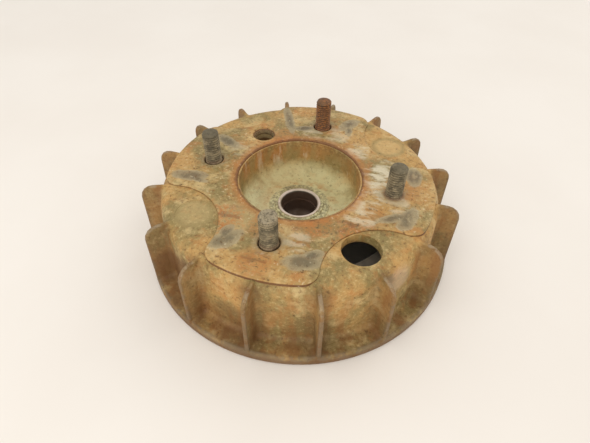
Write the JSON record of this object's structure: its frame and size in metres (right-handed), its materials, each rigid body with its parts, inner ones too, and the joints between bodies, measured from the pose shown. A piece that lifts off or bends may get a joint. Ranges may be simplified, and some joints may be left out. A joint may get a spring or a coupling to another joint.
{
  "type": "flywheel",
  "caption": "Cast fan flywheel for a small engine: radial cooling fins, lobed steel drive plate with studs, recessed hub with tapered bore, magnets inside.",
  "frame": {"origin": "on the crankshaft axis, in the plane of the rim's bottom face", "axes": "+Z along the crankshaft axis, away from the engine; the studs stand on +X, +Y, -X and -Y"},
  "size_m": [0.1544, 0.1544, 0.0553],
  "materials": {
    "cast_body": "stained, weathered casting",
    "plate_steel": "rusted, with grey galled patches",
    "hub_steel": "machined",
    "ring_steel": "dull, lightly rusted",
    "cage_plastic": "matte",
    "spring_steel": "oiled black",
    "bush_steel": "rusted",
    "stud_steel": "rusted, worn threads",
    "magnet_ferrite": "ground ferrite",
    "pin_steel": "ground"
  },
  "bodies": {
    "root": {"fan_body": "cast_body", "cooling_fins": "cast_body", "mounting_plate": "plate_steel", "hub": "hub_steel", "flux_ring": "ring_steel", "magnet_cage": "cage_plastic", "snap_ring": "spring_steel", "stud_right": "stud_steel", "stud_rear": "stud_steel", "stud_left": "stud_steel", "stud_front": "stud_steel", "stud_bush_right": "bush_steel", "stud_bush_rear": "bush_steel", "stud_bush_left": "bush_steel", "stud_bush_front": "bush_steel", "magnet_1": "magnet_ferrite", "magnet_2": "magnet_ferrite", "magnet_3": "magnet_ferrite", "magnet_4": "magnet_ferrite", "magnet_5": "magnet_ferrite", "magnet_6": "magnet_ferrite", "lock_pin_1": "pin_steel", "lock_pin_2": "pin_steel", "lock_pin_3": "pin_steel"}
  },
  "joints": []
}
